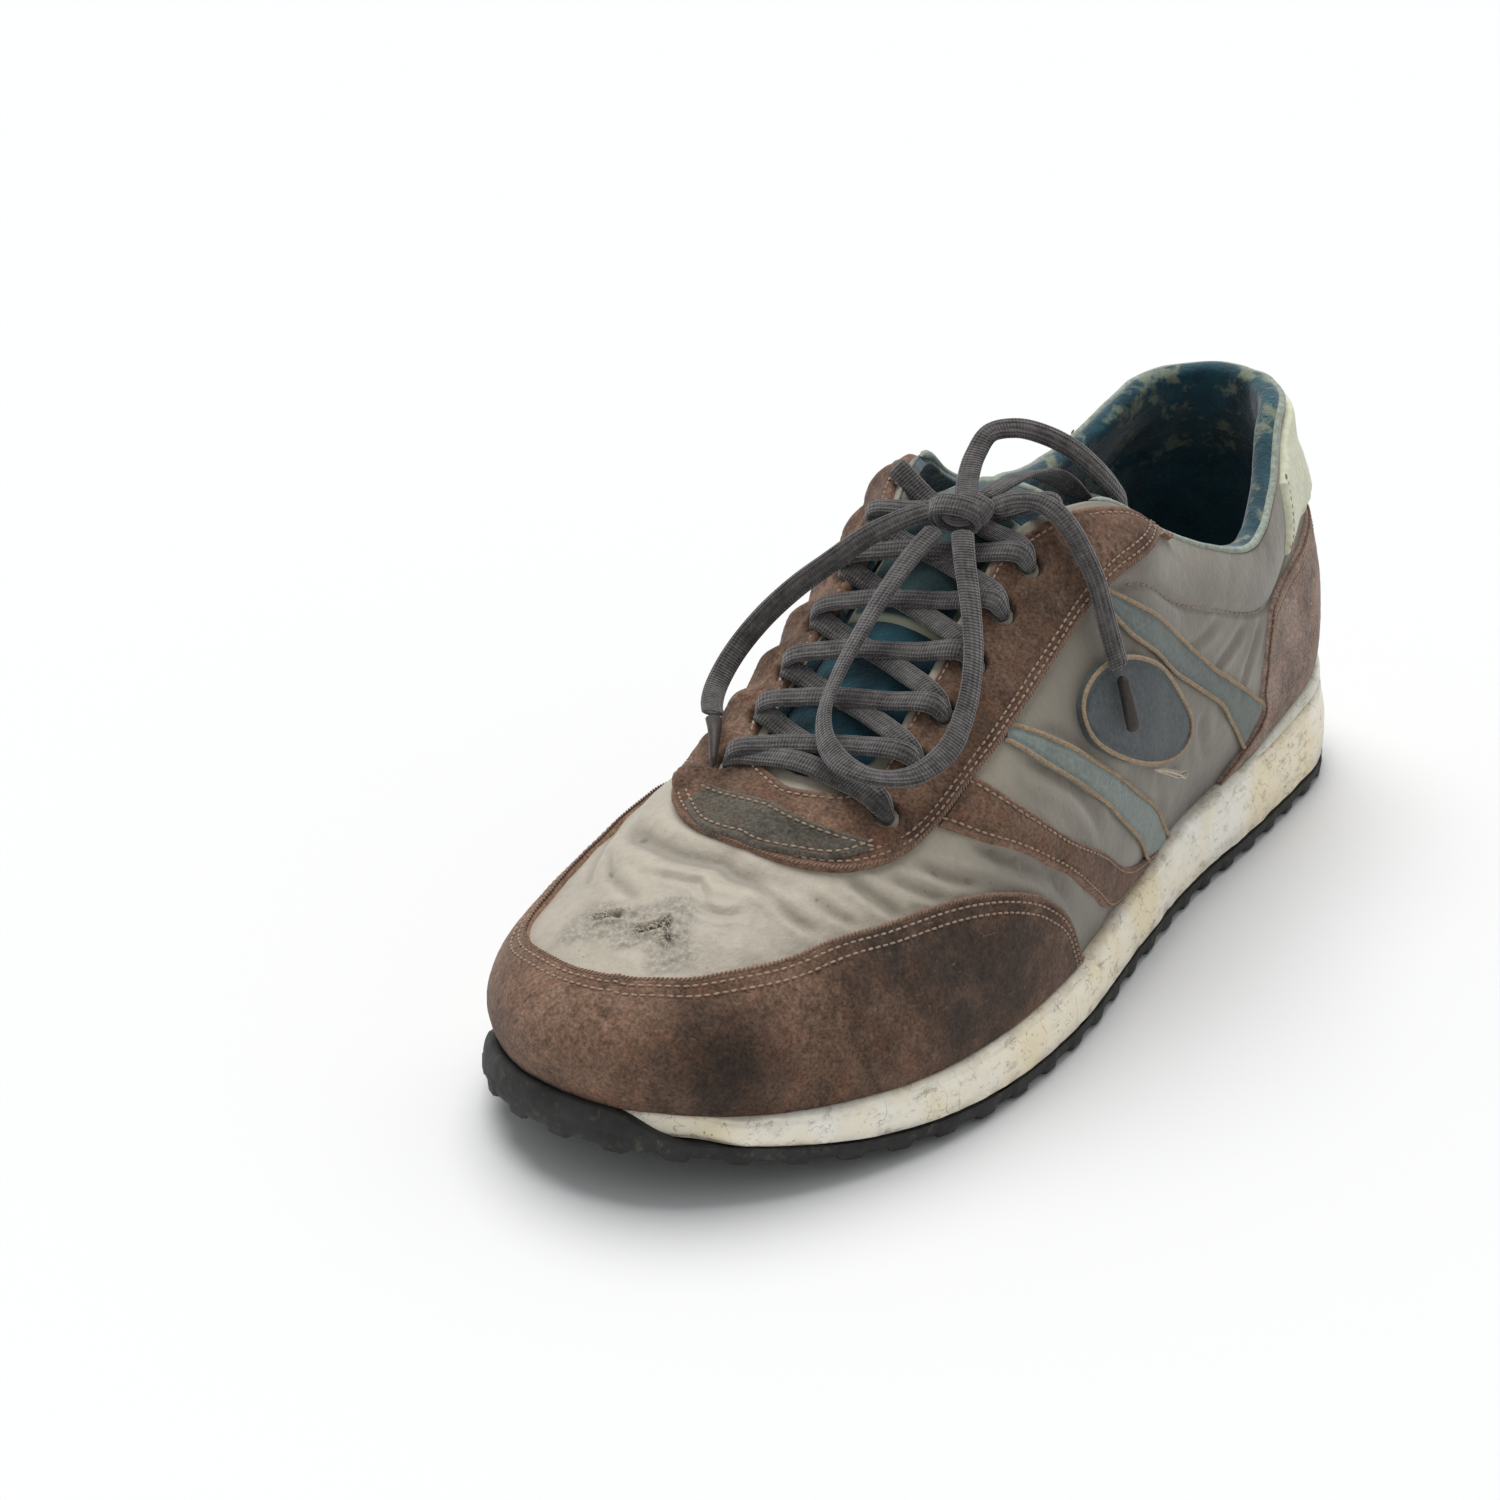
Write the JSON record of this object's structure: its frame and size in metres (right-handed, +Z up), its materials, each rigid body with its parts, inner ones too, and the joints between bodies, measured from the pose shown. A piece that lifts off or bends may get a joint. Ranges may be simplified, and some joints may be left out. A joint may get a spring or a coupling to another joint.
{
  "type": "sneaker",
  "caption": "Worn low-cut lace-up sneaker with a hollow leather and nylon upper, padded tongue, cushioned midsole and grooved rubber outsole; it stands empty on its sole.",
  "frame": {"origin": "on the floor under the middle of the shoe, laces' loose parts left out", "axes": "+Y runs from the toe to the heel, +X to the outer (lateral) side of the left foot, +Z up"},
  "size_m": [0.1106, 0.304, 0.123],
  "materials": {
    "rubber_dark": "matt dark grey-green rubber, worn and dusty",
    "foam_cream": "painted foam, yellowed cream with dirt and scratches",
    "foam_grey": "blue-grey foam wedge, dirty",
    "lining_teal": "dark teal foam-backed lining, flattened",
    "nylon_taupe": "taupe woven nylon with a satin sheen, wrinkled",
    "tongue_fabric": "dark padded cloth, pale teal edge",
    "suede_brown": "reddish brown suede, scuffed pale in places",
    "tab_olive": "pale olive foam-backed cloth",
    "lace_grey": "flat woven lace, dark grey, fuzzy",
    "aglet": "clear-brown plastic tip, dulled"
  },
  "bodies": {
    "root": {"outsole": "rubber_dark", "midsole": "foam_cream", "heel_wedge": "foam_grey", "insole": "lining_teal", "upper": "nylon_taupe", "tongue": "tongue_fabric", "mudguard": "suede_brown", "eyestay": "suede_brown", "heel_counter": "suede_brown", "heel_tab": "tab_olive", "lace_bars": "lace_grey", "lace_knot": "lace_grey", "lace_loop_front": "lace_grey", "lace_loop_back": "lace_grey", "lace_end_medial": "lace_grey", "lace_end_lateral": "lace_grey", "aglet_medial": "aglet", "aglet_lateral": "aglet"}
  },
  "joints": []
}
